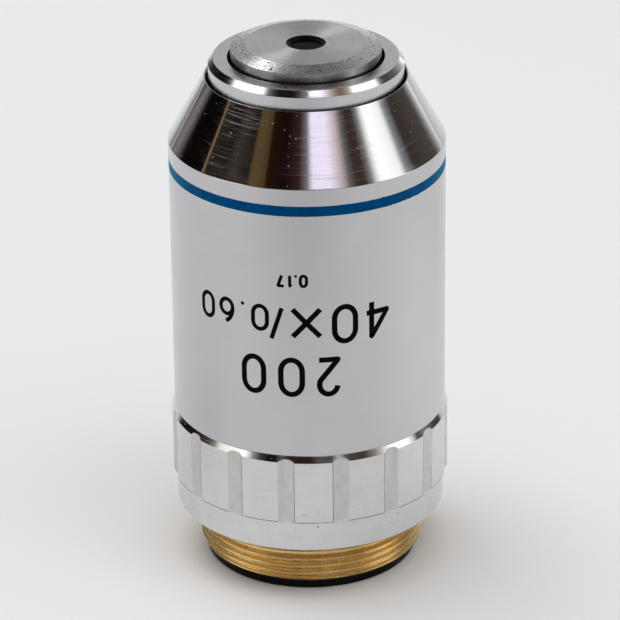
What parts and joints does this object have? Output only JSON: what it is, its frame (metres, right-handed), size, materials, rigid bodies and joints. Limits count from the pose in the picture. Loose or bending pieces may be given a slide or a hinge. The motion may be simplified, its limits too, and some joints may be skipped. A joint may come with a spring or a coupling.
{
  "type": "microscope objective",
  "caption": "Microscope objective: threaded mount, fluted grip, satin barrel with a blue band, polished cone and a spring-loaded nose that holds the lens stack.",
  "frame": {"origin": "on the optical axis, at the rear face on which the objective stands", "axes": "+Z along the optical axis, from the mounting thread to the front lens; -Y towards the engraved front"},
  "size_m": [0.0252, 0.0252, 0.0493],
  "materials": {
    "mount_plating": "satin chrome plating on brass, thread bare",
    "sleeve_plating": "satin chrome plating on brass, cone polished",
    "band_enamel": "gloss enamel in a groove",
    "spring_wire": "drawn stainless wire",
    "screw_steel": "turned steel",
    "black_finish": "matt black oxide on brass",
    "nose_plating": "satin chrome plating on brass, bevel polished",
    "cell_plating": "faced and plated brass",
    "optical_glass": "polished and coated"
  },
  "bodies": {
    "body": {"threaded_mount": "mount_plating", "cover_sleeve": "sleeve_plating", "colour_band": "band_enamel", "return_spring": "spring_wire", "guide_screw": "screw_steel", "rear_stop": "black_finish"},
    "nose": {"nose_barrel": "nose_plating", "front_cell": "cell_plating", "front_lens": "optical_glass", "second_cell": "black_finish", "second_lens": "optical_glass", "first_doublet_cell": "black_finish", "first_crown": "optical_glass", "first_flint": "optical_glass", "front_spacer": "black_finish", "second_doublet_cell": "black_finish", "second_crown": "optical_glass", "second_flint": "optical_glass", "middle_spacer": "black_finish", "pupil_stop": "black_finish", "rear_cell": "black_finish", "rear_negative": "optical_glass", "rear_positive": "optical_glass", "rear_spacer": "black_finish", "lock_ring": "black_finish"}
  },
  "joints": [
    {"name": "nose_slide", "type": "slide", "parent": "body", "child": "nose", "axis": [0, 0, -1], "range_m": [0, 0.002], "stiffness_N_per_m": 600, "springref_m": -0.004, "deforming": ["return_spring"]}
  ]
}
